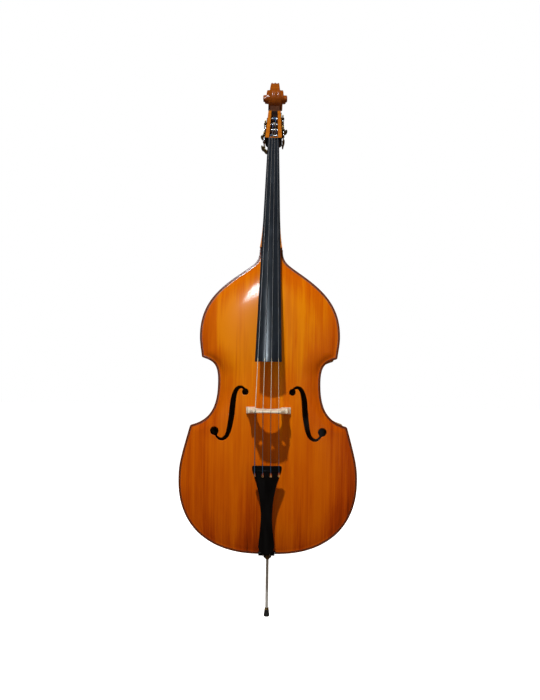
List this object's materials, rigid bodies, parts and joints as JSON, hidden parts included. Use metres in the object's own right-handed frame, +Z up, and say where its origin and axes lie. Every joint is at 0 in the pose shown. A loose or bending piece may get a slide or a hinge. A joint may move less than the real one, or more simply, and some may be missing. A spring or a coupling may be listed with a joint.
{
  "type": "double bass",
  "caption": "Upright double bass with carved top, sound holes, scroll head, machine tuners, black fingerboard and tailpiece, and a sliding endpin.",
  "frame": {"origin": "middle of the endpin tip's underside, on the endpin's axis", "axes": "+Z up along the body's centre line, front (strings) towards -Y, +X to the right as seen from the front"},
  "size_m": [0.662, 0.4447, 2.1062],
  "materials": {
    "top_varnish": "honey-amber varnish over spruce, glossy",
    "maple_varnish": "orange-brown varnish over maple, glossy",
    "inner_wood": "bare spruce and willow",
    "bridge_maple": "bare maple, satin",
    "ebony": "polished ebony",
    "string_metal": "flat-wound steel",
    "cable_steel": "stranded steel",
    "black_fitting": "black, satin",
    "brass_fitting": "brass, worn",
    "rod_steel": "satin steel with notches",
    "rubber": "black rubber",
    "machine_steel": "nickel-plated steel",
    "machine_brass": "aged brass"
  },
  "bodies": {
    "bass": {"back_lining": "inner_wood", "back_plate": "maple_varnish", "bass_bar": "inner_wood", "bridge": "bridge_maple", "corner_block_lower_left": "inner_wood", "corner_block_lower_right": "inner_wood", "corner_block_upper_left": "inner_wood", "corner_block_upper_right": "inner_wood", "end_block": "inner_wood", "endpin_collar": "brass_fitting", "endpin_plug": "black_fitting", "fingerboard": "ebony", "machine_plate_a": "machine_brass", "machine_plate_d": "machine_brass", "machine_plate_e": "machine_brass", "machine_plate_g": "machine_brass", "neck": "maple_varnish", "neck_block": "inner_wood", "nut": "ebony", "rib_lower_left": "maple_varnish", "rib_lower_right": "maple_varnish", "rib_upper_left": "maple_varnish", "rib_upper_right": "maple_varnish", "rib_waist_left": "maple_varnish", "rib_waist_right": "maple_varnish", "saddle": "ebony", "sound_post": "inner_wood", "string_a": "string_metal", "string_d": "string_metal", "string_e": "string_metal", "string_g": "string_metal", "tail_cable": "cable_steel", "tailpiece": "ebony", "top_lining": "inner_wood", "top_plate": "top_varnish"},
    "endpin": {"endpin_rod": "rod_steel", "endpin_ferrule": "brass_fitting", "endpin_tip": "rubber"},
    "thumbscrew": {"thumbscrew": "black_fitting"},
    "key_e_body": {"key_e": "machine_brass", "worm_e": "machine_steel"},
    "post_e_body": {"post_e": "machine_steel", "gear_e": "machine_brass"},
    "key_a_body": {"key_a": "machine_brass", "worm_a": "machine_steel"},
    "post_a_body": {"post_a": "machine_steel", "gear_a": "machine_brass"},
    "key_g_body": {"key_g": "machine_brass", "worm_g": "machine_steel"},
    "post_g_body": {"post_g": "machine_steel", "gear_g": "machine_brass"},
    "key_d_body": {"key_d": "machine_brass", "worm_d": "machine_steel"},
    "post_d_body": {"post_d": "machine_steel", "gear_d": "machine_brass"}
  },
  "joints": [
    {"name": "endpin_slide", "type": "slide", "parent": "bass", "child": "endpin", "axis": [0, 0, 1], "range_m": [-0.15, 0.16]},
    {"name": "thumbscrew_turn", "type": "hinge", "parent": "bass", "child": "thumbscrew", "pos_m": [-0.02, 0, 0.2525], "axis": [-1, 0, 0], "range_deg": [0, 720]},
    {"name": "key_e_turn", "type": "hinge", "parent": "bass", "child": "key_e_body", "pos_m": [-0.03744, -0.01642, 1.83313], "axis": [0, 0.866, -0.5], "continuous": true},
    {"name": "post_e_turn", "type": "hinge", "parent": "bass", "child": "post_e_body", "pos_m": [0, -0.01568, 1.85441], "axis": [1, 0, 0], "continuous": true},
    {"name": "key_a_turn", "type": "hinge", "parent": "bass", "child": "key_a_body", "pos_m": [-0.03429, 0.01758, 1.89202], "axis": [0, 0.866, -0.5], "continuous": true},
    {"name": "post_a_turn", "type": "hinge", "parent": "bass", "child": "post_a_body", "pos_m": [0, 0.01832, 1.9133], "axis": [1, 0, 0], "continuous": true},
    {"name": "key_g_turn", "type": "hinge", "parent": "bass", "child": "key_g_body", "pos_m": [0.03587, 0.00058, 1.86257], "axis": [0, 0.866, -0.5], "continuous": true},
    {"name": "post_g_turn", "type": "hinge", "parent": "bass", "child": "post_g_body", "pos_m": [0, 0.00132, 1.88385], "axis": [1, 0, 0], "continuous": true},
    {"name": "key_d_turn", "type": "hinge", "parent": "bass", "child": "key_d_body", "pos_m": [0.03272, 0.03458, 1.92146], "axis": [0, 0.866, -0.5], "continuous": true},
    {"name": "post_d_turn", "type": "hinge", "parent": "bass", "child": "post_d_body", "pos_m": [0, 0.03532, 1.94274], "axis": [1, 0, 0], "continuous": true}
  ],
  "couplings": [
    {"joint": "post_e_turn", "follows": "key_e_turn", "ratio": -0.05},
    {"joint": "post_a_turn", "follows": "key_a_turn", "ratio": -0.05},
    {"joint": "post_g_turn", "follows": "key_g_turn", "ratio": -0.05},
    {"joint": "post_d_turn", "follows": "key_d_turn", "ratio": -0.05}
  ]
}
